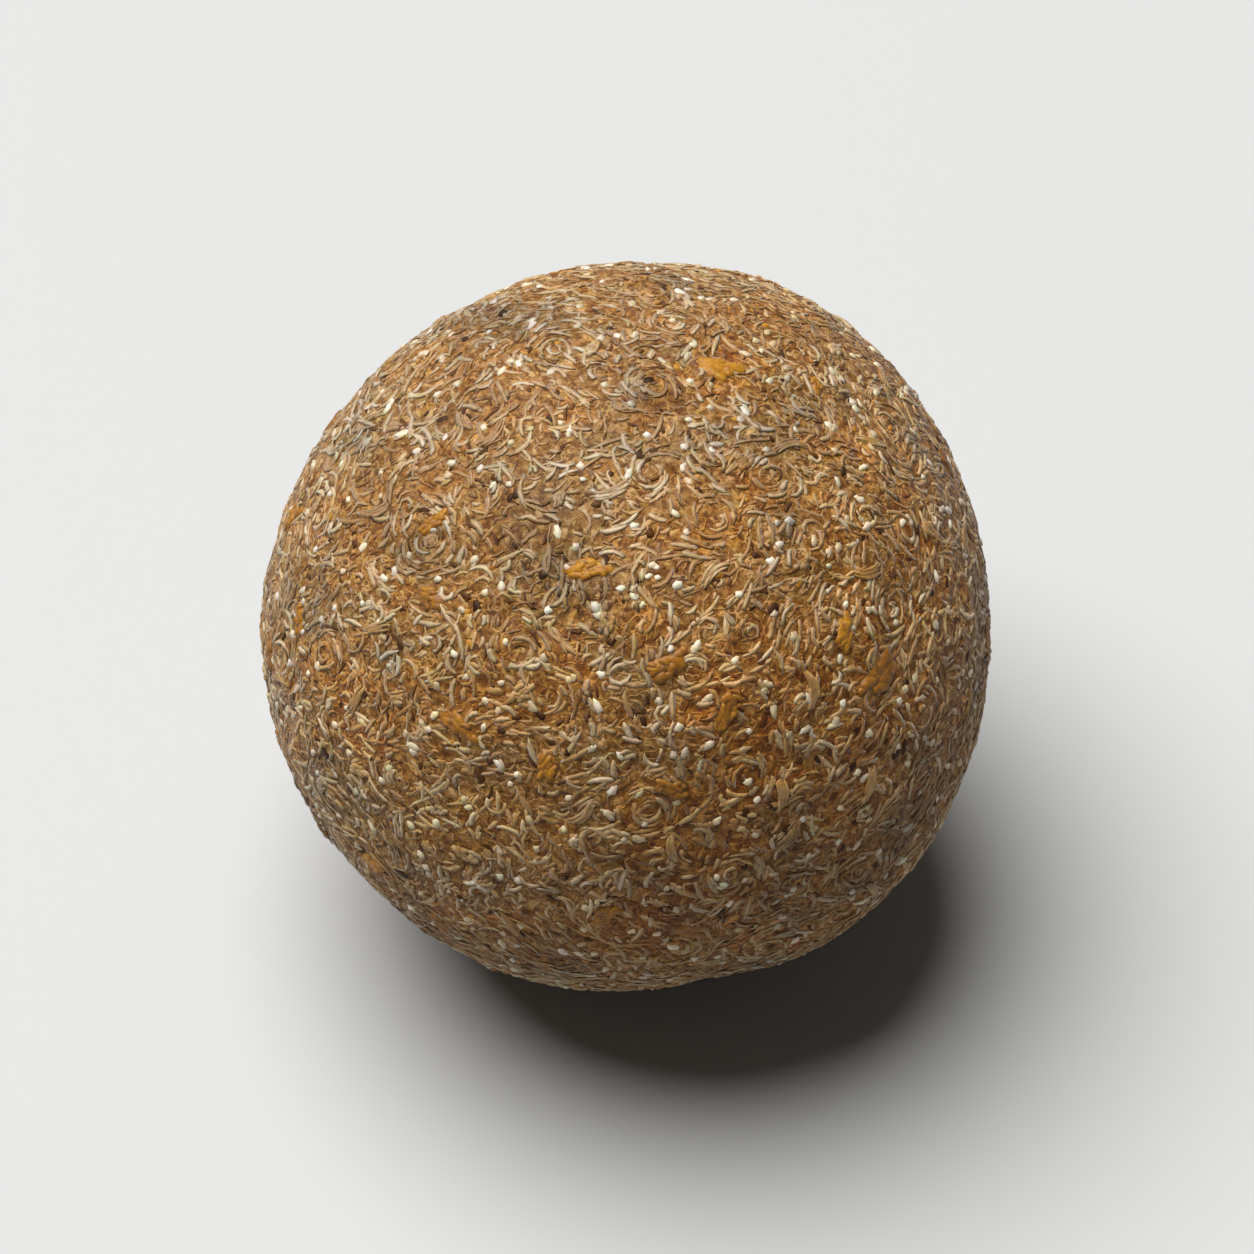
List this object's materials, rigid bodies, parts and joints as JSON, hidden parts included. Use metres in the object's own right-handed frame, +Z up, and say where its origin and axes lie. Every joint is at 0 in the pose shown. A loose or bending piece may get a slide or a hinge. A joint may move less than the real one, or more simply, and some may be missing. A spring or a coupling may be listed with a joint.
{
  "type": "black rice laddu",
  "caption": "Hand-rolled ball of ground black rice and jaggery, matte brown, with fine bran slivers, pale grits and amber crumbs in its surface and a small flat to rest on.",
  "frame": {"origin": "middle of the laddu's footprint, on the small flat that it rests on", "axes": "+Z up out of the flat; the side shown in the picture faces -Y and upwards, about 50 degrees above the horizon; +X is to the right in that view"},
  "size_m": [0.0409, 0.0411, 0.0403],
  "materials": {
    "laddu_meal": "matte, slightly oily pressed meal"
  },
  "bodies": {
    "root": {"laddu": "laddu_meal"}
  },
  "joints": []
}
